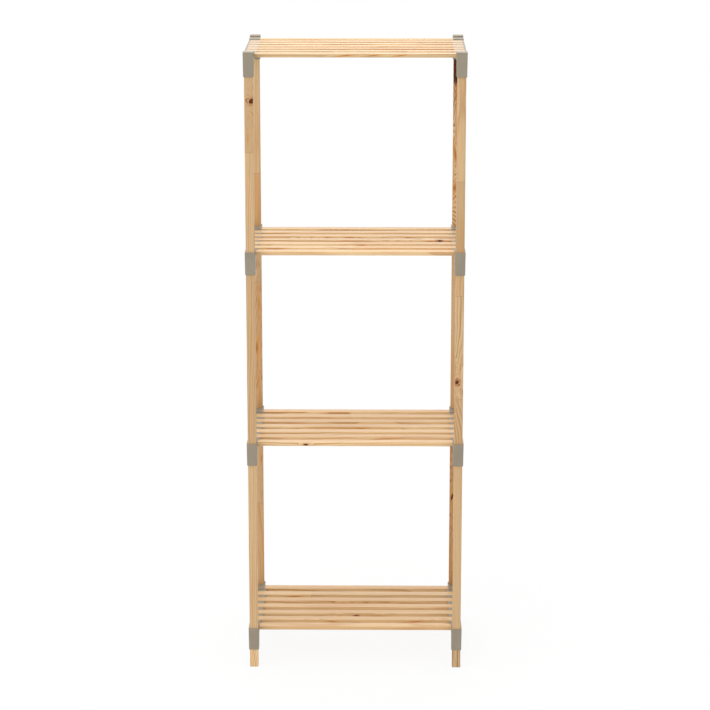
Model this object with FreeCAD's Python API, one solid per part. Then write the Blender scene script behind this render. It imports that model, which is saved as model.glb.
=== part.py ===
import FreeCAD, Part
import os

# Slatted four-tier rack: pine slats lie on moulded side brackets, and square pine
# posts plug into the sleeves of the brackets above and below them.
# Millimetres. The origin is on the floor under the middle of the rack, +X is to the
# right, the front faces -Y and +Z is up.

# Overall sizes
overall_width = 450.0
overall_depth = 310.0
shelf_count = 4
shelf_pitch = 405.0

# Square posts and legs
post_size = 17.6
post_edge_radius = 1.0
leg_show = 39.0

# Slats
slats_per_shelf = 7
slat_width = 22.5
slat_thickness = 8.0
slat_edge_radius = 0.8

# Bracket sleeves
sleeve_wall = 2.0
sleeve_corner_radius = 1.6
sleeve_draft = 0.5
sleeve_rim_break = 0.4
sleeve_foot_break = 0.5
rim_rise = 2.0
stop_thickness = 3.0

# Bracket rails
rail_step = 3.0
rail_end_wall = 3.0
rail_floor = 3.0
skirt_wall = 2.6
skirt_depth = 15.0
skirt_inset = 11.0
arch_drop = 19.0
rib_thickness = 2.0
rib_setback = 2.0
pocket_wall = 6.0
rail_edge_radius = 1.0
rail_corner_radius = 2.0
block_edge_radius = 0.8
skirt_edge_radius = 0.6
notch_lead_in = 0.6

# Caps on the top sleeves
cap_height = 3.5
cap_edge_break = 0.9
plug_depth = 9.0

# Clearances
post_clearance = 0.2
slat_clearance = 0.3
pocket_clearance = 0.2

# Depth by which joined parts of one moulding run into each other
weld = 1.5

# Sizes that follow from those above
half_width = overall_width / 2
half_depth = overall_depth / 2
socket_size = post_size + 2 * post_clearance
sleeve_size = socket_size + 2 * sleeve_wall
rail_width = sleeve_size + rail_step
rail_reach = half_depth - sleeve_size
deck_thickness = slat_thickness + rail_floor
rail_height = deck_thickness + skirt_depth
sleeve_drop = rail_height + arch_drop
arch_radius = arch_drop / 2
sleeve_centre_x = half_width - sleeve_size / 2
sleeve_centre_y = half_depth - sleeve_size / 2
stop_middle = (rim_rise - sleeve_drop) / 2
stop_top = stop_middle + stop_thickness / 2
stop_bottom = stop_middle - stop_thickness / 2
slat_half_length = half_width - rail_end_wall - slat_clearance
first_slat_y = -rail_reach + slat_clearance
slat_pitch = (2 * (rail_reach - slat_clearance) - slat_width) / (slats_per_shelf - 1)
shelf_heights = [leg_show + sleeve_drop + shelf * shelf_pitch for shelf in range(shelf_count)]

SIDES = {"left": -1, "right": 1}
ENDS = {"front": -1, "rear": 1}


def box(x0, x1, y0, y1, z0, z1):
    """Solid block between two corners."""
    corner = FreeCAD.Vector(x0, y0, z0)
    return Part.makeBox(x1 - x0, y1 - y0, z1 - z0, corner)


def ease(solid, radius, chosen):
    """Round each edge of a solid whose middle passes the test `chosen`."""
    edges = [edge for edge in solid.Edges if chosen(edge.CenterOfMass)]
    return solid.makeFillet(radius, edges)


def near(value, target):
    """Whether two lengths agree to well under any size in the model."""
    return abs(value - target) < 1e-4


def rounded_bar(x0, x1, y0, y1, z0, z1, along, radius):
    """Block whose four edges in the direction `along` are rounded."""
    bar = box(x0, x1, y0, y1, z0, z1)
    middle = bar.CenterOfMass
    return ease(bar, radius, lambda point: near((point - middle).dot(along), 0))


def rounded_square(centre_x, centre_y, size, radius, z):
    """Closed wire of a square with rounded corners, lying flat at height z."""
    flat = size / 2 - radius
    bow = flat + radius * 0.5 ** 0.5
    edges = []
    for turn in range(4):
        spin = FreeCAD.Rotation(FreeCAD.Vector(0, 0, 1), 90 * turn)
        local = [(size / 2, -flat), (size / 2, flat), (bow, bow), (flat, size / 2)]
        centre = FreeCAD.Vector(centre_x, centre_y, z)
        a, b, c, d = [centre + spin.multVec(FreeCAD.Vector(x, y, 0)) for x, y in local]
        edges.append(Part.makeLine(a, b))
        edges.append(Part.Arc(b, c, d).toShape())
    return Part.Wire(edges)


def square_column(centre_x, centre_y, radius, sections):
    """Solid through a stack of rounded squares, given as (height, size) from the bottom up."""
    wires = [rounded_square(centre_x, centre_y, size, radius, z) for z, size in sections]
    return Part.makeLoft(wires, True, True)


def sleeve(end):
    """Outer form of one sleeve, narrowing downwards, before its sockets are cut."""
    low_size = sleeve_size - 2 * sleeve_draft
    sections = [
        (-sleeve_drop, low_size - 2 * sleeve_foot_break),
        (-sleeve_drop + sleeve_foot_break, low_size),
        (rim_rise - sleeve_rim_break, sleeve_size),
        (rim_rise, sleeve_size - 2 * sleeve_rim_break),
    ]
    return square_column(sleeve_centre_x, end * sleeve_centre_y, sleeve_corner_radius, sections)


def sockets(end):
    """The two square sockets of a sleeve, above and below its stop."""
    reach = socket_size / 2
    x0, x1 = sleeve_centre_x - reach, sleeve_centre_x + reach
    y0, y1 = end * sleeve_centre_y - reach, end * sleeve_centre_y + reach
    upper = box(x0, x1, y0, y1, stop_top, rim_rise + weld)
    lower = box(x0, x1, y0, y1, -sleeve_drop - weld, stop_bottom)
    return [upper, lower]


def skirt(x0, x1):
    """Upright wall under the rail, with a rounded corner at each sleeve."""
    reach = rail_reach + weld
    inner = reach - arch_radius - weld
    low = -rail_height - arch_radius
    bow = arch_radius * (1 - 0.5 ** 0.5)

    def point(y, z):
        return FreeCAD.Vector(x0, y, z)

    edges = [
        Part.makeLine(point(-reach, -slat_thickness), point(reach, -slat_thickness)),
        Part.makeLine(point(reach, -slat_thickness), point(reach, low)),
        Part.makeLine(point(reach, low), point(rail_reach, low)),
        Part.Arc(
            point(rail_reach, low),
            point(rail_reach - bow, -rail_height - bow),
            point(inner, -rail_height),
        ).toShape(),
        Part.makeLine(point(inner, -rail_height), point(-inner, -rail_height)),
        Part.Arc(
            point(-inner, -rail_height),
            point(-rail_reach + bow, -rail_height - bow),
            point(-rail_reach, low),
        ).toShape(),
        Part.makeLine(point(-rail_reach, low), point(-reach, low)),
        Part.makeLine(point(-reach, low), point(-reach, -slat_thickness)),
    ]
    face = Part.Face(Part.Wire(edges))
    return face.extrude(FreeCAD.Vector(x1 - x0, 0, 0))


def eased_skirt(x0, x1, shown_x):
    """Skirt whose lower edge is rounded on the side that shows."""
    wall = skirt(x0, x1)
    return ease(
        wall,
        skirt_edge_radius,
        lambda p: near(p.x, shown_x) and p.z < -rail_height + skirt_edge_radius and abs(p.y) < rail_reach,
    )


def slat_front(number):
    """Y of the front edge of a slat, counted from zero at the front."""
    return first_slat_y + number * slat_pitch


def slat_seat(number):
    """Cut that takes a slat's end: a pocket for the outermost slats, an open notch for the rest."""
    x0, x1 = half_width - rail_width - weld, half_width - rail_end_wall
    y0 = slat_front(number) - slat_clearance
    y1 = slat_front(number) + slat_width + slat_clearance
    if number in (0, slats_per_shelf - 1):
        return box(x0, x1, y0, y1, -slat_thickness, pocket_clearance)
    flare = notch_lead_in
    outline = [
        (y0, -slat_thickness),
        (y1, -slat_thickness),
        (y1, -flare),
        (y1 + flare, 0),
        (y1 + flare, rim_rise),
        (y0 - flare, rim_rise),
        (y0 - flare, 0),
        (y0, -flare),
    ]
    corners = [FreeCAD.Vector(x0, y, z) for y, z in outline + outline[:1]]
    return Part.Face(Part.makePolygon(corners)).extrude(FreeCAD.Vector(x1 - x0, 0, 0))


def right_bracket():
    """Side bracket with its slats' top at z = 0: rail, skirts, ribs and two sleeves."""
    inner_x = half_width - rail_width
    block_x = half_width - sleeve_size
    skirt_x = block_x + skirt_inset
    reach = rail_reach + weld
    block_end = first_slat_y + slat_width + slat_clearance + pocket_wall
    deck_reach = -block_end + weld
    deck = box(inner_x, half_width, -deck_reach, deck_reach, -deck_thickness, 0)
    deck = ease(deck, rail_corner_radius, lambda p: near(p.x, inner_x) and near(abs(p.y), deck_reach))
    solids = [
        ease(deck, rail_edge_radius, lambda p: near(p.z, 0) and near(p.y, 0)),
        eased_skirt(half_width - skirt_wall, half_width, half_width),
        eased_skirt(skirt_x, skirt_x + skirt_wall, skirt_x),
    ]
    for number in range(slats_per_shelf - 1):
        rib_y = slat_front(number) + (slat_width + slat_pitch) / 2
        y0, y1 = rib_y - rib_thickness / 2, rib_y + rib_thickness / 2
        z0 = -rail_height + rib_setback
        solids.append(box(skirt_x + weld, half_width - weld, y0, y1, z0, -slat_thickness))
    for end in ENDS.values():
        y0, y1 = sorted([end * reach, -end * block_end])
        block = box(block_x, half_width, y0, y1, -deck_thickness, rim_rise)
        joined_y = end * reach
        solids.append(
            ease(block, block_edge_radius, lambda p: near(p.z, rim_rise) and not near(p.y, joined_y))
        )
        solids.append(sleeve(end))
    body = solids[0].fuse(solids[1:])
    cuts = [slat_seat(number) for number in range(slats_per_shelf)]
    for end in ENDS.values():
        cuts.extend(sockets(end))
    return body.cut(cuts).removeSplitter()


def slat(number):
    """Pine slat with eased long edges, its top at z = 0."""
    y0 = slat_front(number)
    along = FreeCAD.Vector(1, 0, 0)
    return rounded_bar(
        -slat_half_length, slat_half_length, y0, y0 + slat_width, -slat_thickness, 0, along, slat_edge_radius
    )


def upright(side, end, z0, z1):
    """Square pine length standing on the axis of one corner's sleeves."""
    x, y = side * sleeve_centre_x, end * sleeve_centre_y
    reach = post_size / 2
    along = FreeCAD.Vector(0, 0, 1)
    return rounded_bar(x - reach, x + reach, y - reach, y + reach, z0, z1, along, post_edge_radius)


def cap(side, end):
    """Cap that lies on a top sleeve's rim, with a plug down into its socket."""
    x, y = side * sleeve_centre_x, end * sleeve_centre_y
    sections = [
        (rim_rise, sleeve_size - 2 * sleeve_rim_break),
        (rim_rise + sleeve_rim_break, sleeve_size),
        (rim_rise + cap_height - cap_edge_break, sleeve_size),
        (rim_rise + cap_height, sleeve_size - 2 * cap_edge_break),
    ]
    plate = square_column(x, y, sleeve_corner_radius, sections)
    reach = post_size / 2
    plug = box(x - reach, x + reach, y - reach, y + reach, rim_rise - plug_depth, rim_rise + cap_height / 2)
    return plate.fuse(plug).removeSplitter()


def save(name, shape, height=0.0):
    """Write one piece, raised to its height."""
    placed = shape.copy()
    placed.translate(FreeCAD.Vector(0, 0, height))
    placed.exportStep("parts/" + name + ".step")


os.makedirs("parts", exist_ok=True)

brackets = {"right": right_bracket()}
brackets["left"] = brackets["right"].mirror(FreeCAD.Vector(0, 0, 0), FreeCAD.Vector(1, 0, 0))

for shelf, height in enumerate(shelf_heights, start=1):
    for side, bracket in brackets.items():
        save(f"bracket_{shelf}_{side}", bracket, height)
    for number in range(slats_per_shelf):
        save(f"shelf_{shelf}_slat_{number + 1}", slat(number), height)

for end, end_sign in ENDS.items():
    for side, side_sign in SIDES.items():
        corner = f"{end}_{side}"
        save(f"leg_{corner}", upright(side_sign, end_sign, 0, shelf_heights[0] + stop_bottom))
        for storey in range(1, shelf_count):
            low = shelf_heights[storey - 1] + stop_top
            high = shelf_heights[storey] + stop_bottom
            save(f"post_{storey}_{corner}", upright(side_sign, end_sign, low, high))
        save(f"cap_{corner}", cap(side_sign, end_sign), shelf_heights[-1])
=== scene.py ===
# %% [markdown]
# # A slatted pine rack
# This lesson dresses a tall knock-down rack: pine slats on moulded side brackets, joined by square
# pine posts. The construction comes packed as a fixed frame of 56 nodes, in metres, with the floor at
# z = 0 and the front towards -Y. Nothing in the frame is moved: wooden nodes get a finer board in
# their place, and moulded nodes keep their shape and get a finish.

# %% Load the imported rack
import math

import bpy
import numpy as np
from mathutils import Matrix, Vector


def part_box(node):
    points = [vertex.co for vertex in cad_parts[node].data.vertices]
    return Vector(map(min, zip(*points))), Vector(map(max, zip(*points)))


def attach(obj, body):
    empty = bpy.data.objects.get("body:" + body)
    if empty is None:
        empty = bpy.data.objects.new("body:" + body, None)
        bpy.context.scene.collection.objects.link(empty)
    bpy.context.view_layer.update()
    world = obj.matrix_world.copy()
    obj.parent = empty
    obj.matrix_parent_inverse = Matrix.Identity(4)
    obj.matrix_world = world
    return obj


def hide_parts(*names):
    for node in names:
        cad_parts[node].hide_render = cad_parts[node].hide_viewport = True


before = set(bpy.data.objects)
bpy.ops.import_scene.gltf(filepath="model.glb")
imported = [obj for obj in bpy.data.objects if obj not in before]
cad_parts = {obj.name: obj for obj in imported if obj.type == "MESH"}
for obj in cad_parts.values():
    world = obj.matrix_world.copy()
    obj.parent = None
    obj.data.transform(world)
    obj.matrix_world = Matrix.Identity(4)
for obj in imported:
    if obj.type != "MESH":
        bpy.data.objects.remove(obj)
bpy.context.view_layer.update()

# %% [markdown]
# ## Node helpers
# A procedural finish is a small graph of shader nodes. A few helpers keep the graphs readable: one
# adds a node and sets or links its inputs, the others are single steps with numbers, vectors or
# colours, so a finish reads from top to bottom like a formula.

# %% Steps with numbers and vectors


def add_node(tree, kind, values=None, **settings):
    """Add one shader node, set its properties, and set or link its inputs by name or number."""
    node = tree.nodes.new(kind)
    for name, value in settings.items():
        setattr(node, name, value)
    for key, value in (values or {}).items():
        if isinstance(value, bpy.types.NodeSocket):
            tree.links.new(value, node.inputs[key])
        else:
            node.inputs[key].default_value = value
    return node


def arithmetic(tree, operation, first, second=0.0, third=0.0):
    """One arithmetic step on numbers or sockets, giving its result socket."""
    values = {0: first, 1: second, 2: third}
    return add_node(tree, "ShaderNodeMath", values, operation=operation).outputs[0]


def vector_step(tree, operation, first, second=(0.0, 0.0, 0.0)):
    """One step on vectors or vector sockets, giving the vector that results."""
    return add_node(tree, "ShaderNodeVectorMath", {0: first, 1: second}, operation=operation).outputs[0]


def vector_length(tree, vector):
    """Length of a vector socket."""
    return add_node(tree, "ShaderNodeVectorMath", {0: vector}, operation="LENGTH").outputs["Value"]


def vector_parts(tree, vector):
    """The three numbers of a vector socket."""
    return add_node(tree, "ShaderNodeSeparateXYZ", {0: vector}).outputs


def attribute(tree, name):
    """Vector that a board's mesh stores under a name."""
    return add_node(tree, "ShaderNodeAttribute", attribute_name=name).outputs["Vector"]


def smooth_range(tree, value, low, high, to_low=0.0, to_high=1.0):
    """Carry a number from one range into another along a smooth step."""
    values = {"Value": value, "From Min": low, "From Max": high, "To Min": to_low, "To Max": to_high}
    node = add_node(tree, "ShaderNodeMapRange", values, interpolation_type="SMOOTHSTEP")
    return node.outputs["Result"]


def even_noise(tree, place, scale, detail):
    """Noise that looks the same in all directions: `scale` is its cycles per unit of the place."""
    values = {"Vector": place, "Scale": scale, "Detail": detail}
    return add_node(tree, "ShaderNodeTexNoise", values).outputs["Fac"]


print("steps with numbers and vectors ready")

# %% Steps with colours
MIX_FACTOR, MIX_FIRST, MIX_SECOND, MIX_RESULT = 0, 6, 7, 2


def blend(tree, factor, first, second, blend_type="MIX"):
    """Blend two colours, each a socket or an RGBA value."""
    values = {MIX_FACTOR: factor, MIX_FIRST: first, MIX_SECOND: second}
    node = add_node(tree, "ShaderNodeMix", values, data_type="RGBA", blend_type=blend_type)
    return node.outputs[MIX_RESULT]


def shaded(tree, colour, shade):
    """Colour made lighter or darker by a number."""
    grey = add_node(tree, "ShaderNodeCombineXYZ", {0: shade, 1: shade, 2: shade}).outputs[0]
    return blend(tree, 1.0, colour, grey, "MULTIPLY")


def srgb(red, green, blue):
    """Linear RGBA of a colour that is written in display values from 0 to 255."""
    shown = np.array([red, green, blue]) / 255
    linear = np.where(shown <= 0.04045, shown / 12.92, ((shown + 0.055) / 1.055) ** 2.4)
    return (*linear.tolist(), 1.0)


def new_finish(name):
    """Empty material with a shader and its output, returned with the node tree and the shader."""
    material = bpy.data.materials.new(name)
    material.use_nodes = True
    tree = material.node_tree
    return material, tree, tree.nodes["Principled BSDF"]


print("steps with colours ready")

# %% [markdown]
# ## Place in the tree
# A board is a piece of a trunk, so its grain is a solid pattern: growth rings round a pith, seen where
# the saw cut them. Each board's mesh stores where it lay in the tree, as a vector called `log`: two
# numbers across the trunk and one along it. Long boards are often glued up from two lengths with a
# finger joint, and past the joint the wood comes from another tree. A painted picture of grain would
# break at the edges; a solid pattern runs round them.

# %% Where a point of a board lay in its tree
FINGER_PITCH = 0.0044
FINGER_LENGTH = 0.0090
GLUE_CORE, GLUE_REACH = 0.0002, 0.0011


def trunk_place(tree):
    """Place in the trunk, with the wood past a finger joint taken from another trunk.

    `splice` holds the place across the board and the distances past its two joints; a triangle wave
    of the first makes the fingers. Past each joint the place moves on by the board's `graft`. The other
    results are 1 between the joints and 1 on a glue line.
    """
    splice = vector_parts(tree, attribute(tree, "splice"))
    wave = arithmetic(tree, "PINGPONG", splice[0], FINGER_PITCH / 2)
    fingers = arithmetic(tree, "MULTIPLY", wave, 2 * FINGER_LENGTH / FINGER_PITCH)
    beyond = [arithmetic(tree, "SUBTRACT", splice[number], fingers) for number in (1, 2)]
    sides = [arithmetic(tree, "GREATER_THAN", distance, 0.0) for distance in beyond]
    values = {0: attribute(tree, "graft"), "Scale": arithmetic(tree, "ADD", *sides)}
    graft = add_node(tree, "ShaderNodeVectorMath", values, operation="SCALE").outputs[0]
    apart = [arithmetic(tree, "ABSOLUTE", distance) for distance in beyond]
    glue = smooth_range(tree, arithmetic(tree, "MINIMUM", *apart), GLUE_CORE, GLUE_REACH, 1.0, 0.0)
    between = arithmetic(tree, "SUBTRACT", *sides)
    return vector_step(tree, "ADD", attribute(tree, "log"), graft), between, glue


def stretched_noise(tree, place, across, along, detail=2.0, roughness=0.5):
    """Noise drawn out along the trunk: `across` and `along` are its cycles per metre."""
    scaled = vector_step(tree, "MULTIPLY", place, (across, across, along))
    values = {"Vector": scaled, "Scale": 1.0, "Detail": detail, "Roughness": roughness}
    return add_node(tree, "ShaderNodeTexNoise", values).outputs["Fac"]


def knot_distance(tree, name, squash):
    """Distance from a knot's axis in knot radii, with the grain direction shortened by `squash`."""
    return vector_length(tree, vector_step(tree, "MULTIPLY", attribute(tree, name), (squash, 1.0, 1.0)))


print("fingers", FINGER_LENGTH * 1000, "mm long")

# %% [markdown]
# ## Growth rings
# The distance from the pith, bent by slow noise and pushed aside by knots and streaks, is cut into
# rings. In each ring pale early wood darkens into a thin line of late wood and stops short, and no two
# years are alike, so every ring draws its own strength. A flat cut through the bends shows flames, a
# steep cut lines.

# %% Rings of the pine
RING_WIDTH = 0.0032
RING_BEND = 0.0150
RING_WAVER = RING_BEND / 9
KNOT_BULGE = 2.4 * RING_WIDTH
LATE_START, LATE_FULL, LATE_END = 0.15, 0.88, 0.91
LATE_POWER = 1.7
WEAKEST_YEAR = 0.35
STREAKS = ("streak_a", "streak_b", "streak_c")
SPOTS = ("knot", "swirl", *STREAKS)


def ring_radius(tree, place):
    """Distance from the pith, plus slow and finer noise along the trunk, plus a bulge at each spot."""
    radius = vector_length(tree, vector_step(tree, "MULTIPLY", place, (1.0, 1.0, 0.0)))
    bend = stretched_noise(tree, place, across=24.0, along=3.0, detail=3.0)
    radius = arithmetic(tree, "MULTIPLY_ADD", bend, RING_BEND, radius)
    waver = stretched_noise(tree, place, across=95.0, along=9.0)
    radius = arithmetic(tree, "MULTIPLY_ADD", waver, RING_WAVER, radius)
    for name in SPOTS:
        distance = knot_distance(tree, name, squash=0.3)
        radius = arithmetic(tree, "ADD", radius, smooth_range(tree, distance, 0.3, 2.8, KNOT_BULGE, 0.0))
    return radius


def late_wood(tree, radius):
    """Share of late wood from 0 to 1: rising through a ring, sharp at its end, its own in each ring."""
    count = arithmetic(tree, "DIVIDE", radius, RING_WIDTH)
    phase = arithmetic(tree, "FRACT", count)
    rising = arithmetic(tree, "POWER", smooth_range(tree, phase, LATE_START, LATE_FULL), LATE_POWER)
    ending = smooth_range(tree, phase, LATE_END, 1.0, 1.0, 0.0)
    ring = {"W": arithmetic(tree, "FLOOR", count)}
    year = add_node(tree, "ShaderNodeTexWhiteNoise", ring, noise_dimensions="1D").outputs["Value"]
    strength = smooth_range(tree, year, 0.0, 1.0, WEAKEST_YEAR, 1.0)
    return arithmetic(tree, "MULTIPLY", arithmetic(tree, "MULTIPLY", rising, ending), strength)


print("rings", RING_WIDTH * 1000, "mm wide")

# %% [markdown]
# ## Knots, swirls and resin streaks
# A branch grew through the trunk, so a knot is a rod across the grain. A board stores its offset from
# such a rod, in knot radii, and the finish draws the warm wood round it, its own fine rings and its
# dark bark edge. Beside a branch the grain swirls, so a swirl is another such offset, drawn as warm
# wood with wavy dark lines. A resin streak is an offset drawn out along the grain, and is only amber.
# In all of them a share fades between two distances from the axis, both counted in radii.

# %% Uneven distance from a spot
SPOT_RIPPLE = 0.7


def uneven_distance(tree, name, squash=1.0):
    """Distance from a spot's axis in its radii, made uneven by noise that is as often less as more."""
    noise = even_noise(tree, attribute(tree, name), scale=1.9, detail=2.0)
    ripple = arithmetic(tree, "MULTIPLY_ADD", noise, SPOT_RIPPLE, -SPOT_RIPPLE / 2)
    return arithmetic(tree, "ADD", knot_distance(tree, name, squash), ripple)


print("spots are uneven by", SPOT_RIPPLE / 2, "of their radius")

# %% Resin streaks and swirls
RESIN = srgb(160, 99, 36)
RESIN_HALO = srgb(204, 145, 74)
SWIRL_WOOD = srgb(206, 160, 112)
SWIRL_LINE = srgb(134, 84, 44)
SWIRL_WAVES = 8.5


def with_streaks(tree, colour):
    """Lay the resin streaks over a colour: an amber core in a paler halo."""
    for name in STREAKS:
        distance = uneven_distance(tree, name)
        colour = blend(tree, smooth_range(tree, distance, 0.45, 1.60, 0.85, 0.0), colour, RESIN_HALO)
        colour = blend(tree, smooth_range(tree, distance, 0.10, 0.85, 0.90, 0.0), colour, RESIN)
    return colour


def with_swirl(tree, colour):
    """Lay the swirl over a colour: warm wood, and dark lines on a sine of the distance, with gaps."""
    distance = uneven_distance(tree, "swirl")
    colour = blend(tree, smooth_range(tree, distance, 0.70, 1.30, 0.75, 0.0), colour, SWIRL_WOOD)
    waves = arithmetic(tree, "SINE", arithmetic(tree, "MULTIPLY", distance, SWIRL_WAVES))
    lines = smooth_range(tree, waves, -0.9, 0.3, 1.0, 0.0)
    lines = arithmetic(tree, "MULTIPLY", lines, smooth_range(tree, distance, 0.85, 1.35, 0.95, 0.0))
    gaps = even_noise(tree, attribute(tree, "swirl"), scale=1.1, detail=1.0)
    lines = arithmetic(tree, "MULTIPLY", lines, smooth_range(tree, gaps, 0.32, 0.54))
    return blend(tree, lines, colour, SWIRL_LINE)


print("streaks", len(STREAKS), "and a swirl on a board at most")

# %% Knots
KNOT_HEART = srgb(108, 60, 28)
KNOT_BARK = srgb(54, 28, 12)
KNOT_HALO = srgb(196, 132, 70)
KNOT_SQUASH, HALO_SQUASH = 0.62, 0.40
KNOT_WAVES = 19.0
BARK_PLACE = 0.9


def with_knot(tree, colour):
    """Lay the knot over a colour, and return it with the share of the knot itself.

    From outside inwards: a warm halo, fine rings on a sine of the distance that fade outwards, the
    ringed heart, and the dark bark at its edge.
    """
    halo = smooth_range(tree, uneven_distance(tree, "knot", HALO_SQUASH), 0.55, 1.7, 0.85, 0.0)
    colour = blend(tree, halo, colour, KNOT_HALO)
    distance = uneven_distance(tree, "knot", KNOT_SQUASH)
    waves = arithmetic(tree, "SINE", arithmetic(tree, "MULTIPLY", distance, KNOT_WAVES))
    rings = smooth_range(tree, waves, -1.0, 1.0, 0.0, 0.6)
    outer_rings = arithmetic(tree, "MULTIPLY", rings, smooth_range(tree, distance, 1.0, 3.0, 1.0, 0.0))
    colour = blend(tree, outer_rings, colour, KNOT_HEART)
    knot = smooth_range(tree, distance, 0.80, 1.05, 1.0, 0.0)
    colour = blend(tree, knot, colour, blend(tree, rings, KNOT_HEART, KNOT_BARK))
    from_bark = arithmetic(tree, "ABSOLUTE", arithmetic(tree, "SUBTRACT", distance, BARK_PLACE))
    colour = blend(tree, smooth_range(tree, from_bark, 0.03, 0.22, 0.8, 0.0), colour, KNOT_BARK)
    return colour, knot


print("knots have a halo, rings, a heart and a bark edge")

# %% [markdown]
# ## Pine
# The finish puts the layers together: pale or warm ground, amber flames, late wood lines, fine fibres
# and short resin flecks, the glue line of a joint, and knots. Each board has its own `tint` (how light,
# how warm, how dark its late wood), `past` (how much lighter and warmer between its joints; on the rear
# left posts the darkening past the joint is painted shade from the shelf above) and `figure` (how
# strong its rings, its heartwood and its flames are). The faces that look across a slat, its front and
# back edges, are painted a little darker and warmer than its top, as painted shade of those faces, and
# they are also duller, so a mesh also stores where its `edge` is. Fibres and late wood stand out in low
# relief, and a knot is dry, with hardly any sheen.

# %% Finish of the wood
PALE_WOOD = srgb(231, 198, 150)
WARM_WOOD = srgb(207, 153, 91)
AMBER_WOOD = srgb(201, 138, 72)
LATE_WOOD = srgb(184, 129, 70)
DARK_WOOD = srgb(140, 82, 36)
GLUE_SHADE = -0.22
WOOD_SHEEN, KNOT_SHEEN = 0.5, 0.05
GLOSS_SWING = 0.04
LATE_RELIEF = 0.6
RELIEF_STRENGTH, RELIEF_HEIGHT = 0.06, 0.00012


def wood_colour(tree, place, between, edge, painted_edge_warmth):
    """Colour before fibres and spots, returned with the share of late wood.

    Warmth = the board's own + heartwood + its change between the joints + the edge's painted
    shade warmth, and it blends pale into warm wood. Amber flames and the late wood are laid over that.
    """
    tint = vector_parts(tree, attribute(tree, "tint"))
    past = vector_parts(tree, attribute(tree, "past"))
    figure = vector_parts(tree, attribute(tree, "figure"))
    heart = smooth_range(tree, stretched_noise(tree, place, across=22.0, along=2.6), 0.50, 0.76)
    warmth = arithmetic(tree, "MULTIPLY_ADD", heart, figure[1], tint[1])
    warmth = arithmetic(tree, "MULTIPLY_ADD", between, past[1], warmth)
    # Painted shade: the edges of the slats are made warmer than their tops, as faces in shade look
    warmth = arithmetic(tree, "MULTIPLY_ADD", edge, painted_edge_warmth, warmth)
    colour = blend(tree, warmth, PALE_WOOD, WARM_WOOD)
    flames = smooth_range(tree, stretched_noise(tree, place, across=150.0, along=7.0), 0.56, 0.78)
    colour = blend(tree, arithmetic(tree, "MULTIPLY", flames, figure[2]), colour, AMBER_WOOD)
    late = arithmetic(tree, "MULTIPLY", late_wood(tree, ring_radius(tree, place)), figure[0])
    return blend(tree, late, colour, blend(tree, tint[2], LATE_WOOD, DARK_WOOD)), late


def wood_shade(tree, place, between, edge, painted_edge_shade, glue, fibre):
    """Shade = (the board's own + its change between the joints + the edge's) x fibres x flecks x glue."""
    tint = vector_parts(tree, attribute(tree, "tint"))
    past = vector_parts(tree, attribute(tree, "past"))
    flecks = stretched_noise(tree, place, across=1300.0, along=60.0, detail=1.0)
    # Painted shade: on the rear left posts the change past the joint darkens the upper length
    shade = arithmetic(tree, "MULTIPLY_ADD", between, past[0], tint[0])
    # Painted shade: the edges of the slats are made darker than their tops
    shade = arithmetic(tree, "MULTIPLY_ADD", edge, painted_edge_shade, shade)
    shade = arithmetic(tree, "MULTIPLY", shade, smooth_range(tree, fibre, 0.3, 0.7, 0.95, 1.03))
    shade = arithmetic(tree, "MULTIPLY", shade, smooth_range(tree, flecks, 0.70, 0.84, 1.0, 0.88))
    return arithmetic(tree, "MULTIPLY", shade, arithmetic(tree, "MULTIPLY_ADD", glue, GLUE_SHADE, 1.0))


def pine_finish(name, roughness, painted_edge_shade=0.0, painted_edge_warmth=0.0, edge_roughness=0.0):
    """Planed pine: colour times shade, spots over it, gloss from the fibres, relief from both grains."""
    material, tree, shader = new_finish(name)
    place, between, glue = trunk_place(tree)
    edge = vector_parts(tree, attribute(tree, "edge"))[0]
    fibre = stretched_noise(tree, place, across=800.0, along=14.0, detail=3.0, roughness=0.6)
    colour, late = wood_colour(tree, place, between, edge, painted_edge_warmth)
    colour = shaded(tree, colour, wood_shade(tree, place, between, edge, painted_edge_shade, glue, fibre))
    colour, knot = with_knot(tree, with_swirl(tree, with_streaks(tree, colour)))
    tree.links.new(colour, shader.inputs["Base Color"])
    sheen = smooth_range(tree, knot, 0.0, 1.0, WOOD_SHEEN, KNOT_SHEEN)
    tree.links.new(sheen, shader.inputs["Specular IOR Level"])

    gloss = smooth_range(tree, fibre, 0.25, 0.75, roughness - GLOSS_SWING, roughness + GLOSS_SWING)
    gloss = arithmetic(tree, "MULTIPLY_ADD", edge, edge_roughness, gloss)
    tree.links.new(gloss, shader.inputs["Roughness"])
    height = arithmetic(tree, "MULTIPLY_ADD", late, LATE_RELIEF, fibre)
    relief = {"Height": height, "Strength": RELIEF_STRENGTH, "Distance": RELIEF_HEIGHT}
    tree.links.new(add_node(tree, "ShaderNodeBump", relief).outputs[0], shader.inputs["Normal"])
    return material


# The edges of the slats carry painted shade, darker and warmer than the tops, and are also rougher
slat_pine = pine_finish(
    "slat_pine", roughness=0.34, painted_edge_shade=-0.06, painted_edge_warmth=0.05, edge_roughness=0.35
)
post_pine = pine_finish("post_pine", roughness=0.40)
print("finishes", slat_pine.name, post_pine.name)

# %% [markdown]
# ## Boards
# Slats, posts and legs are the same thing at different sizes: a rounded rectangle carried along a
# line. Sanding leaves the edges slightly uneven, so the corner radius changes a little along the
# length, and the ends are eased. The surface is a grid: one direction goes round the profile, the
# other along the board, and both are computed at once as whole arrays.

# %% A board as a rounded profile along a line
CORNER_POINTS = 5
STATIONS = 49
END_EASE = 0.0004
EDGE_UNEVENNESS = 0.22
EDGE_WAVES = (1.3, 2.9, 5.7)


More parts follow.
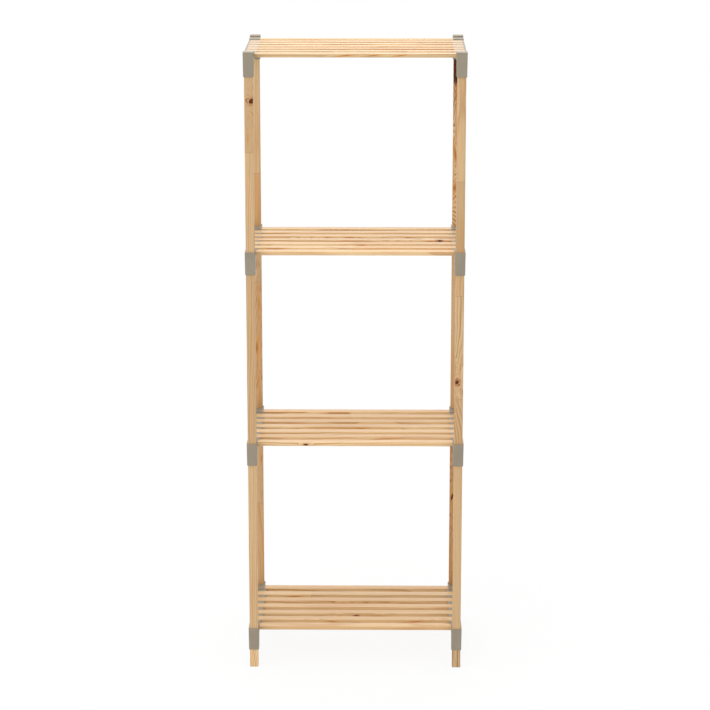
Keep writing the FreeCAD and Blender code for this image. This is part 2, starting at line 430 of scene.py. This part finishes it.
def board_surface(low, high, axis, radius, random):
    """Grid of points, one row per station along the board and one column per profile point.

    Profile point = corner centre + radius times a direction on the circle, where the corner centres
    lie one radius in from the sides. The radius is a slow random wave along the length. The first and
    last rows are drawn in by the ease of the ends.
    """
    side_a, side_b = (axis + 1) % 3, (axis + 2) % 3
    half = np.array([high[side_a] - low[side_a], high[side_b] - low[side_b]]) / 2
    middle = np.array([high[side_a] + low[side_a], high[side_b] + low[side_b]]) / 2
    length = high[axis] - low[axis]

    spread = np.linspace(0.0, 1.0, STATIONS)
    rows = np.concatenate([[0.0], END_EASE + spread * (length - 2 * END_EASE), [length]])
    turns = [count * rows / length + random.random() for count in EDGE_WAVES]
    waves = np.sin(2 * np.pi * np.array(turns)).mean(axis=0)
    corner = radius * (1 + EDGE_UNEVENNESS * waves)
    drawn_in = np.zeros_like(rows)
    drawn_in[[0, -1]] = END_EASE

    quarter = np.linspace(0, np.pi / 2, CORNER_POINTS)
    angles = (quarter + np.arange(4)[:, None] * np.pi / 2).ravel()
    signs = np.repeat([[1, 1], [-1, 1], [-1, -1], [1, -1]], CORNER_POINTS, axis=0)
    circle = np.stack([np.cos(angles), np.sin(angles)], axis=1)
    flat = signs * (half - corner[:, None, None]) + corner[:, None, None] * circle
    flat = flat - np.sign(flat) * drawn_in[:, None, None]

    points = np.empty((len(rows), len(angles), 3))
    points[..., axis] = low[axis] + rows[:, None]
    points[..., side_a] = middle[0] + flat[..., 0]
    points[..., side_b] = middle[1] + flat[..., 1]
    return points


def closed_grid(name, points):
    """Mesh of a grid that closes on itself round the profile, with one face over each end."""
    rows, columns = points.shape[:2]
    index = np.arange(rows * columns).reshape(rows, columns)
    following = np.roll(index, -1, axis=1)
    quads = np.stack([index[:-1], following[:-1], following[1:], index[1:]], axis=-1).reshape(-1, 4)
    faces = quads.tolist() + [index[0, ::-1].tolist(), index[-1].tolist()]
    mesh = bpy.data.meshes.new(name)
    mesh.from_pydata(points.reshape(-1, 3).tolist(), [], faces)
    mesh.update()
    return mesh


def store(mesh, name, vectors):
    """Keep one vector per vertex under a name, for the finish to read."""
    layer = mesh.attributes.new(name, "FLOAT_VECTOR", "POINT")
    layer.data.foreach_set("vector", np.ascontiguousarray(vectors, dtype=np.float32).ravel())


print("a board has", (STATIONS + 2) * 4 * CORNER_POINTS, "points")

# %% [markdown]
# ## Grain of one board
# A board's `log` place is its own length, width and thickness, turned by the angle at which the saw met
# the rings, moved out from the pith, and tilted a little, because a trunk is never quite straight. A
# bow makes the rings arch along a board, as on one bold post. What is left to chance is drawn from one
# seed for the rack and one for each board, so the rack comes out the same every time.

# %% Grain and joints of one board
FIRST_SIDE, SECOND_SIDE = 1, 2
FAR_AWAY = 40.0
TRUNK_HEIGHTS = (5.0, 60.0)


def along_across(points, low, high, axis):
    """Board coordinates from the middle: along the grain, across the first side, across the second."""
    order = [axis, (axis + 1) % 3, (axis + 2) % 3]
    return (points.reshape(-1, 3) - (low + high) / 2)[:, order]


def store_grain(mesh, local, cut_angle, pith, tilt, ring_scale, random):
    """Trunk place = board place turned by the cut angle, moved out from the pith, tilted and bowed.

    The tilt is outward, sideways and bow, and the bow moves the trunk out with the square of the place
    along it. Both numbers across the trunk are divided by the ring scale, which makes the rings wider.
    """
    along, first, second = local.T
    cosine, sine = math.cos(cut_angle), math.sin(cut_angle)
    outward = pith + first * cosine + second * sine + along * tilt[0] + along**2 * tilt[2]
    sideways = second * cosine - first * sine + along * tilt[1]
    upward = along + random.uniform(*TRUNK_HEIGHTS)
    store(mesh, "log", np.stack([outward / ring_scale, sideways / ring_scale, upward], axis=1))


def store_joints(mesh, local, joints, across, random):
    """Place across the board and distance past each of two finger joints, far before a missing one."""
    positions = [*joints, FAR_AWAY, FAR_AWAY][:2]
    place_across = local[:, across] - local[:, across].min()
    splice = [place_across] + [local[:, 0] - position for position in positions]
    store(mesh, "splice", np.stack(splice, axis=1))
    graft = [random.uniform(0.004, 0.03), random.uniform(-0.03, 0.03), random.uniform(3.0, 9.0)]
    store(mesh, "graft", np.tile(graft, (len(local), 1)))


print("grain and joints can be stored")

# %% Spots and edges of one board
EDGE_REACH = 0.7


def store_spots(mesh, local, spots, upright):
    """Offset from the axis of each spot, less its part along the axis, in units of its size.

    The size along the grain is the radius times the stretch, and a lean moves the `upright` offset with
    the place along the grain. Where a board has no such spot the offset is far.
    """
    for name in SPOTS:
        offset = np.full_like(local, FAR_AWAY)
        if name in spots:
            centre, direction, radius, stretch, lean = spots[name]
            axis = np.array(direction) / np.linalg.norm(direction)
            offset = local - np.array(centre)
            offset[:, upright] -= lean * offset[:, 0]
            offset = (offset - np.outer(offset @ axis, axis)) / (radius * np.array([stretch, 1.0, 1.0]))
        store(mesh, name, offset)


def store_edge(mesh, local, across, radius):
    """1 on the two sides that face across the board, 0 elsewhere, rising over the rounded corners."""
    away = np.abs(local[:, across])
    share = np.clip(1 + (away - away.max()) / (EDGE_REACH * radius), 0, 1)
    store(mesh, "edge", np.outer(share, [1.0, 0.0, 0.0]))


print("kinds of spots", SPOTS)

# %% One board in the place of its node
SHARP_ANGLE = 40.0


def make_board(node, axis, radius, finish, grain, looks, joints, across, spots, seed):
    """Replace one wooden node by a board with its own grain."""
    random = np.random.default_rng(seed)
    low, high = (np.array(corner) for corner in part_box(node))
    points = board_surface(low, high, axis, radius, random)
    mesh = closed_grid(node + "_board", points)
    local = along_across(points, low, high, axis)
    store_grain(mesh, local, *grain, random)
    store_joints(mesh, local, joints, across, random)
    store_spots(mesh, local, spots, upright=FIRST_SIDE + SECOND_SIDE - across)
    store_edge(mesh, local, across, radius)
    for name, values in looks.items():
        store(mesh, name, np.tile(values, (len(local), 1)))
    mesh.materials.append(finish)
    mesh.shade_smooth()
    mesh.set_sharp_from_angle(angle=math.radians(SHARP_ANGLE))
    board = bpy.data.objects.new(node + "_board", mesh)
    bpy.context.scene.collection.objects.link(board)
    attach(board, "root")
    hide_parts(node)
    return board


print("boards can be cut")

# %% [markdown]
# ## Slats
# Most slats are sawn so that their rings stand steeply and show as lines on top; some lie flatter in the
# tree and show flames. A few are glued up from two lengths with a finger joint, which shows as a change
# of colour across the slat. Nearly all knots and resin streaks sit on the front edges. A slat is known
# by its shelf and its number, and a spot by its centre from the slat's middle, the direction of its
# axis, its radius, its stretch along the grain and its lean.

# %% Spots, joints and tones of the slats
INTO_FRONT = (0.0, 1.0, -0.25)
INTO_CORNER = (0.0, 0.9, -0.3)
FRONT_EDGE = -0.0112

slat_spots = {
    (1, 2): {
        "streak_a": ((-0.050, FRONT_EDGE, 0.000), INTO_FRONT, 0.0017, 11.0, -0.05),
        "streak_b": ((0.128, FRONT_EDGE, 0.000), INTO_FRONT, 0.0016, 14.0, 0.06),
    },
    (1, 3): {
        "swirl": ((0.004, FRONT_EDGE, -0.001), INTO_FRONT, 0.0032, 2.8, 0.0),
        "knot": ((0.001, FRONT_EDGE, -0.001), INTO_FRONT, 0.0009, 3.0, 0.0),
        "streak_a": ((0.050, FRONT_EDGE, -0.002), INTO_FRONT, 0.0015, 22.0, 0.0),
    },
    (1, 5): {"streak_a": ((0.022, FRONT_EDGE, 0.000), INTO_FRONT, 0.0014, 7.0, 0.0)},
    (1, 6): {"streak_a": ((-0.136, FRONT_EDGE, -0.001), INTO_FRONT, 0.0019, 13.0, 0.04)},
    (2, 1): {"knot": ((-0.103, FRONT_EDGE, -0.001), INTO_FRONT, 0.0018, 1.3, 0.0)},
    (2, 4): {"streak_a": ((0.010, FRONT_EDGE, 0.000), INTO_FRONT, 0.0015, 12.0, 0.0)},
    (3, 2): {"streak_a": ((-0.165, FRONT_EDGE, 0.001), INTO_FRONT, 0.0019, 16.0, 0.0)},
    (3, 3): {"streak_a": ((0.012, FRONT_EDGE, 0.001), INTO_FRONT, 0.0016, 8.0, 0.03)},
    (3, 4): {
        "swirl": ((0.171, -0.0105, 0.0026), INTO_CORNER, 0.0036, 2.6, 0.0),
        "knot": ((0.176, -0.0105, 0.0026), INTO_CORNER, 0.0021, 1.5, 0.0),
        "streak_a": ((0.156, FRONT_EDGE, 0.002), INTO_FRONT, 0.0016, 9.0, 0.0),
        "streak_b": ((0.194, FRONT_EDGE, 0.002), INTO_FRONT, 0.0017, 9.0, 0.0),
    },
    (3, 5): {
        "streak_a": ((-0.060, FRONT_EDGE, 0.001), INTO_FRONT, 0.0015, 6.0, 0.0),
        "streak_b": ((-0.014, FRONT_EDGE, 0.001), INTO_FRONT, 0.0016, 11.0, 0.0),
    },
    (4, 1): {
        "streak_a": ((-0.020, FRONT_EDGE, 0.000), INTO_FRONT, 0.0015, 14.0, 0.10),
        "streak_b": ((0.035, FRONT_EDGE, 0.000), INTO_FRONT, 0.0013, 14.0, 0.10),
        "streak_c": ((0.090, FRONT_EDGE, 0.000), INTO_FRONT, 0.0013, 14.0, 0.10),
    },
    (4, 5): {"knot": ((0.135, 0.0040, 0.0040), (0.1, 0.2, 1.0), 0.0022, 1.4, 0.0)},
}
slat_joints = {(1, 6): [-0.099], (3, 2): [-0.006], (3, 3): [-0.006]}
# How light and how warm the slats of a shelf are
shelf_tones = {1: (1.01, 0.06), 2: (1.02, 0.0), 3: (1.02, 0.0), 4: (0.96, 0.05)}
slat_tints = {(4, 1): (0.88, 0.0, 0.5)}
print("slats with spots", len(slat_spots), "and with joints", len(slat_joints))

# %% Cut the slats
X_AXIS, Z_AXIS = 0, 2
SLAT_RADIUS = 0.0008
SHELVES, SLATS_PER_SHELF = 4, 7
RACK_SEED, SLAT_SEED = 405, 1000
STEEP_SHARE = 0.75
STEEP_CUT, FLAT_CUT, CUT_SPREAD = 0.2, 1.1, 0.2

chance = np.random.default_rng(RACK_SEED)
for shelf in range(1, SHELVES + 1):
    for number in range(1, SLATS_PER_SHELF + 1):
        steep = chance.random() < STEEP_SHARE
        cut_angle = chance.normal(STEEP_CUT if steep else FLAT_CUT, CUT_SPREAD)
        tilt = (chance.normal(0, 0.012), chance.normal(0, 0.006), 0.0)
        shade, warmth = shelf_tones[shelf]
        shade = shade * chance.uniform(0.95, 1.03)
        warmth = warmth + chance.uniform(0.0, 0.32)
        plain_tint = (shade, warmth, chance.uniform(0.0, 0.3))
        grain = (cut_angle, chance.uniform(0.035, 0.09), tilt, chance.uniform(0.8, 1.6))
        past = (chance.uniform(-0.05, 0.03), chance.uniform(-0.15, 0.40), 0.0)
        figure = (chance.uniform(0.45, 0.95), chance.uniform(0.3, 0.8), chance.uniform(0.3, 1.0))
        make_board(
            f"shelf_{shelf}_slat_{number}",
            X_AXIS,
            SLAT_RADIUS,
            slat_pine,
            grain=grain,
            looks={"tint": slat_tints.get((shelf, number), plain_tint), "past": past, "figure": figure},
            joints=slat_joints.get((shelf, number), []),
            across=FIRST_SIDE,
            spots=slat_spots.get((shelf, number), {}),
            seed=SLAT_SEED + 10 * shelf + number,
        )
print("slats", SHELVES * SLATS_PER_SHELF)

# %% [markdown]
# ## Posts and legs
# Most rear posts are warmer than the front ones. The lengths of a jointed post differ in colour, and a
# few posts carry a knot near an edge, resin streaks or bold flames. Each tint is listed: how light the
# post is, how warm, and how dark its late wood. Joints and spots are given by their height above the
# floor.
# On the rear left posts the darker upper lengths are painted shade from the shelf above.

# %% Tints and joints of the posts and legs
post_tints = {
    "post_3_front_left": (0.81, 0.26, 0.2),
    "post_2_front_left": (0.77, 0.36, 0.1),
    "post_1_front_left": (0.835, 0.24, 0.1),
    "post_3_front_right": (0.75, 0.32, 0.2),
    "post_2_front_right": (0.81, 0.38, 0.4),
    "post_1_front_right": (0.81, 0.22, 0.2),
    "post_3_rear_left": (0.88, 0.36, 0.2),
    "post_2_rear_left": (0.86, 0.66, 0.35),
    "post_1_rear_left": (0.86, 0.60, 0.2),
    "post_3_rear_right": (0.94, 0.20, 0.55),
    "post_2_rear_right": (0.86, 0.36, 0.2),
    "post_1_rear_right": (0.85, 0.95, 0.6),
    "leg_front_left": (1.04, 0.06, 0.2),
    "leg_front_right": (0.74, 0.02, 0.2),
    "leg_rear_left": (0.86, 0.45, 0.2),
    "leg_rear_right": (0.92, 0.34, 0.2),
}
post_joints = {
    "post_3_front_left": [1.101],
    "post_3_front_right": [1.042],
    "post_2_front_right": [0.588, 0.805],
    "post_3_rear_left": [1.010],
    "post_2_rear_left": [0.773],
    "post_1_rear_left": [0.274],
}
# How much lighter and warmer a post is past its joint. On the rear left posts the darker upper
# length is painted shade from the shelf above it.
post_past_and_shade = {
    "post_3_front_left": (-0.06, 0.09, 0.0),
    "post_3_front_right": (0.06, -0.06, 0.0),
    "post_2_front_right": (0.02, -0.20, 0.0),
    "post_3_rear_left": (-0.05, -0.34, 0.0),
    "post_2_rear_left": (-0.08, -0.44, 0.0),
    "post_1_rear_left": (-0.07, -0.13, 0.0),
}
print("jointed posts", len(post_joints))

# %% Spots and bold grain of the posts and legs
FRONT_FACE = -0.0083
INTO_FACE = (0.0, 0.15, 1.0)
INTO_EDGE = (0.15, -0.35, 1.0)

post_spots = {
    "post_3_front_left": {
        "swirl": ((1.2068, 0.0000, FRONT_FACE), INTO_EDGE, 0.0086, 0.95, 0.0),
        "knot": ((1.2060, 0.0062, FRONT_FACE), INTO_EDGE, 0.0048, 0.66, 0.3),
        "streak_b": ((1.130, -0.0020, FRONT_FACE), INTO_FACE, 0.0012, 14.0, 0.0),
    },
    "post_2_front_right": {
        "swirl": ((0.6245, -0.0022, FRONT_FACE), INTO_FACE, 0.0088, 1.6, 0.0),
        "knot": ((0.6243, -0.0036, FRONT_FACE), INTO_FACE, 0.0032, 0.75, 0.2),
        "streak_a": ((0.655, 0.0030, FRONT_FACE), INTO_FACE, 0.0012, 14.0, 0.12),
        "streak_b": ((0.604, 0.0040, FRONT_FACE), INTO_FACE, 0.0010, 10.0, -0.15),
    },
    "post_3_rear_right": {
        "knot": ((1.246, -0.0040, FRONT_FACE), INTO_FACE, 0.0064, 4.2, 0.0),
        "streak_a": ((1.050, -0.0030, FRONT_FACE), INTO_FACE, 0.0044, 7.0, -0.20),
        "streak_b": ((0.979, -0.0040, FRONT_FACE), INTO_FACE, 0.0056, 2.2, 0.0),
        "streak_c": ((1.105, 0.0000, FRONT_FACE), INTO_FACE, 0.0020, 14.0, 0.05),
    },
    "post_2_rear_left": {
        "streak_a": ((0.627, -0.0024, FRONT_FACE), INTO_FACE, 0.0050, 5.0, 0.0),
        "streak_b": ((0.545, -0.0020, FRONT_FACE), INTO_FACE, 0.0018, 13.0, 0.25),
        "streak_c": ((0.725, 0.0030, FRONT_FACE), INTO_FACE, 0.0016, 16.0, 0.0),
    },
    "post_1_rear_left": {"streak_a": ((0.376, 0.0050, FRONT_FACE), INTO_FACE, 0.0020, 8.0, 0.0)},
    "post_1_rear_right": {
        "knot": ((0.2890, -0.0034, FRONT_FACE), INTO_FACE, 0.0020, 1.9, 0.25),
        "streak_a": ((0.2920, -0.0045, FRONT_FACE), INTO_FACE, 0.0060, 2.0, 0.0),
        "streak_b": ((0.262, -0.0010, FRONT_FACE), INTO_FACE, 0.0018, 12.0, 0.0),
        "streak_c": ((0.2910, -0.0036, FRONT_FACE), INTO_FACE, 0.0046, 2.6, 0.05),
    },
}
# Cut angle, distance from the pith, tilt with its bow, and ring scale
bold_grain = {
    "post_3_rear_right": (0.10, 0.110, (0.0, 0.03, -2.0), 2.8),
    "post_2_rear_left": (0.30, 0.025, (-0.09, 0.03, 0.0), 1.8),
    "post_2_front_right": (0.20, 0.030, (0.05, 0.02, 0.0), 1.5),
    "leg_front_left": (0.20, 0.030, (0.10, 0.02, 0.0), 1.2),
}
bold_figure = {
    "post_3_rear_right": (1.2, 0.3, 0.3),
    "post_2_rear_left": (0.8, 0.6, 0.8),
    "post_2_front_right": (0.8, 0.4, 0.3),
    "post_1_rear_right": (0.9, 0.5, 0.5),
    "leg_front_left": (1.1, 0.3, 0.2),
    "leg_front_right": (1.1, 0.3, 0.2),
}
print("posts with spots", len(post_spots), "and with a bold grain", len(bold_grain))

# %% Cut the posts and the legs
POST_RADIUS = 0.0010
POST_SEED = 2000


def at_middle(spots, middle):
    """Spots with their heights taken from the middle of a post."""
    return {name: ((place[0] - middle, *place[1:]), *rest) for name, (place, *rest) in spots.items()}


for node, tint in post_tints.items():
    cut_angle, pith = chance.uniform(0, math.pi), chance.uniform(0.02, 0.06)
    tilt = (chance.normal(0, 0.012), chance.normal(0, 0.010), 0.0)
    plain_figure = (chance.uniform(0.35, 0.60), chance.uniform(0.25, 0.6), chance.uniform(0.0, 0.35))
    plain_grain = (cut_angle, pith, tilt, chance.uniform(0.9, 1.5))
    past = post_past_and_shade.get(node, (0.0, 0.0, 0.0))
    middle = (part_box(node)[0][Z_AXIS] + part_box(node)[1][Z_AXIS]) / 2
    make_board(
        node,
        Z_AXIS,
        POST_RADIUS,
        post_pine,
        grain=bold_grain.get(node, plain_grain),
        looks={"tint": tint, "past": past, "figure": bold_figure.get(node, plain_figure)},
        joints=[height - middle for height in post_joints.get(node, [])],
        across=SECOND_SIDE,
        spots=at_middle(post_spots.get(node, {}), middle),
        seed=POST_SEED + sum(map(ord, node)),
    )
print("posts and legs", len(post_tints))

# %% [markdown]
# ## Moulded plastic
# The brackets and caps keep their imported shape, which already has the draft, the rounded corners and
# the seats. Their finish is a grey-beige plastic from a spark-eroded mould: a fine, even grain in the
# surface that scatters the light, and a trace of flow in the colour. The grain is real height, so it is
# a bump, and its size is a few tenths of a millimetre.

# %% Finish of the brackets and caps
MOULDED_GREY = srgb(148, 137, 119)
MOULDED_SHADE = srgb(141, 130, 112)
MOULDED_GLOSS = (0.34, 0.42)
GRAIN_STRENGTH, GRAIN_HEIGHT = 0.15, 0.00008


def moulded_finish(name):
    """Matt plastic: slow flow in the colour, fine grain in height and gloss."""
    material, tree, shader = new_finish(name)
    place = add_node(tree, "ShaderNodeTexCoord").outputs["Object"]
    flow = even_noise(tree, place, scale=22.0, detail=3.0)
    grain = even_noise(tree, place, scale=2400.0, detail=2.0)
    pits = add_node(tree, "ShaderNodeTexVoronoi", {"Vector": place, "Scale": 1500.0}).outputs["Distance"]
    colour = blend(tree, smooth_range(tree, flow, 0.3, 0.7), MOULDED_GREY, MOULDED_SHADE)
    colour = shaded(tree, colour, smooth_range(tree, grain, 0.3, 0.7, 0.96, 1.03))
    tree.links.new(colour, shader.inputs["Base Color"])
    tree.links.new(smooth_range(tree, grain, 0.3, 0.7, *MOULDED_GLOSS), shader.inputs["Roughness"])
    height = arithmetic(tree, "ADD", grain, pits)
    relief = {"Height": height, "Strength": GRAIN_STRENGTH, "Distance": GRAIN_HEIGHT}
    tree.links.new(add_node(tree, "ShaderNodeBump", relief).outputs[0], shader.inputs["Normal"])
    return material


moulded_plastic = moulded_finish("moulded_plastic")
moulded = [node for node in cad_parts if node.startswith(("bracket_", "cap_"))]
for node in moulded:
    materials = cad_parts[node].data.materials
    materials.clear()
    materials.append(moulded_plastic)
print("moulded pieces", len(moulded))

# %% [markdown]
# ## Floor
# The rack stands on a white sweep. The floor is a large disc; to the camera it is mostly white of its
# own, so that only a soft shadow shows near the feet, and further out it clears to the white world, so
# that no horizon shows. To the light it is an ordinary pale floor.

# %% Finish of the floor
WHITE = (1.0, 1.0, 1.0, 1.0)
FLOOR_GREY = (0.88, 0.88, 0.88, 1.0)
OWN_WHITE = 0.90
CLEARS_FROM, CLEAR_AT = 0.5, 1.6


def seen_rays(tree):
    """1 for rays that show a thing: straight from the camera, mirrored, or through something clear."""
    rays = add_node(tree, "ShaderNodeLightPath").outputs
    mirrored = arithmetic(tree, "MAXIMUM", rays["Is Glossy Ray"], rays["Is Transmission Ray"])
    return arithmetic(tree, "MAXIMUM", rays["Is Camera Ray"], mirrored)


def floor_finish():
    """Pale floor that keeps a soft shadow near the rack and clears to the white world for the camera."""
    material, tree, shader = new_finish("white_floor")
    shader.inputs["Base Color"].default_value = FLOOR_GREY
    shader.inputs["Roughness"].default_value = 0.9
    shader.inputs["Specular IOR Level"].default_value = 0.1
    seen = seen_rays(tree)
    away = vector_length(tree, add_node(tree, "ShaderNodeTexCoord").outputs["Object"])
    white = add_node(tree, "ShaderNodeEmission", {"Color": WHITE, "Strength": 1.0}).outputs[0]
    clear = add_node(tree, "ShaderNodeBsdfTransparent").outputs[0]
    own = arithmetic(tree, "MULTIPLY", seen, OWN_WHITE)
    near = add_node(tree, "ShaderNodeMixShader", {0: own, 1: shader.outputs[0], 2: white}).outputs[0]
    fade = arithmetic(tree, "MULTIPLY", smooth_range(tree, away, CLEARS_FROM, CLEAR_AT), seen)
    mixed = add_node(tree, "ShaderNodeMixShader", {0: fade, 1: near, 2: clear}).outputs[0]
    tree.links.new(mixed, tree.nodes["Material Output"].inputs["Surface"])
    return material


white_floor = floor_finish()
print("floor is clear from", CLEAR_AT, "m on")

# %% Disc of the floor
FLOOR_RADII = np.array([0.5, 1.0, 2.0, 4.0, 9.0])
FLOOR_POINTS = 96

turns = np.linspace(0, 2 * np.pi, FLOOR_POINTS, endpoint=False)
disc = FLOOR_RADII[:, None, None] * np.stack([np.cos(turns), np.sin(turns), 0 * turns], axis=-1)
index = np.arange(disc.shape[0] * disc.shape[1]).reshape(disc.shape[:2])
following = np.roll(index, -1, axis=1)
quads = np.stack([index[:-1], index[1:], following[1:], following[:-1]], axis=-1).reshape(-1, 4)
floor_mesh = bpy.data.meshes.new("floor")
floor_mesh.from_pydata(disc.reshape(-1, 3).tolist(), [], quads.tolist() + [index[0].tolist()])
floor_mesh.materials.append(white_floor)
floor = bpy.data.objects.new("floor", floor_mesh)
bpy.context.scene.collection.objects.link(floor)
print("floor", 2 * FLOOR_RADII[-1], "m across")

# %% [markdown]
# ## Light
# A white studio lights the rack from all round. A wide lamp overhead makes the tops of the slats the
# brightest faces, most of all on the top shelf, and a lamp high behind reaches under every shelf and
# gives all the tops a sheen. A lamp in front and to the left gives the posts a lit side and a shaded
# one. It is the widest, because a small one would glare on the top shelf when seen from behind.
# Polished faces see the white of the studio too.

# %% World and lamps
WORLD_FILL = 0.78

world = bpy.data.worlds.new("studio")
bpy.context.scene.world = world
world.use_nodes = True
sky = world.node_tree
background = sky.nodes["Background"]
background.inputs["Color"].default_value = WHITE
brightness = smooth_range(sky, seen_rays(sky), 0.0, 1.0, WORLD_FILL, 1.0)
sky.links.new(brightness, background.inputs["Strength"])


def add_lamp(name, place, target, size, power):
    """Square soft lamp at a place, turned towards a target, with its side in metres and power in watts."""
    lamp = bpy.data.lights.new(name, "AREA")
    lamp.shape = "SQUARE"
    lamp.size = size
    lamp.energy = power
    holder = bpy.data.objects.new(name, lamp)
    bpy.context.scene.collection.objects.link(holder)
    holder.location = place
    holder.rotation_euler = (Vector(target) - Vector(place)).to_track_quat("-Z", "Y").to_euler()
    return holder


add_lamp("overhead_lamp", place=(-0.2, -0.3, 3.3), target=(0.0, 0.0, 0.8), size=2.0, power=26)
add_lamp("rear_lamp", place=(0.0, 2.4, 3.4), target=(0.0, 0.0, 0.7), size=1.6, power=26)
add_lamp("key_lamp", place=(-1.7, -2.3, 2.6), target=(0.0, 0.0, 0.6), size=3.4, power=38)
print("world", WORLD_FILL, "and three lamps")

# %% [markdown]
# ## Camera
# The rack is seen from the front, from above its top and a little to the right of its middle, with a
# long lens that keeps the posts nearly parallel. The camera looks down without a shift, so that the
# rack also stands in the middle of the picture when it is seen from other sides.

# %% Camera
CAMERA_PLACE = (0.053, -5.2, 1.926)
# Angles in degrees, lens and sensor in millimetres
CAMERA_DOWN = 13.85
CAMERA_TURN = 0.604
CAMERA_LENS = 128.2
CAMERA_SENSOR = 36.0

camera_data = bpy.data.cameras.new("camera")
camera_data.lens = CAMERA_LENS
camera_data.sensor_width = CAMERA_SENSOR
camera = bpy.data.objects.new("camera", camera_data)
bpy.context.scene.collection.objects.link(camera)
camera.location = CAMERA_PLACE
camera.rotation_euler = (math.radians(90 - CAMERA_DOWN), 0.0, math.radians(CAMERA_TURN))
bpy.context.scene.camera = camera
bpy.context.scene.view_settings.view_transform = "Standard"
print("camera at", CAMERA_PLACE)
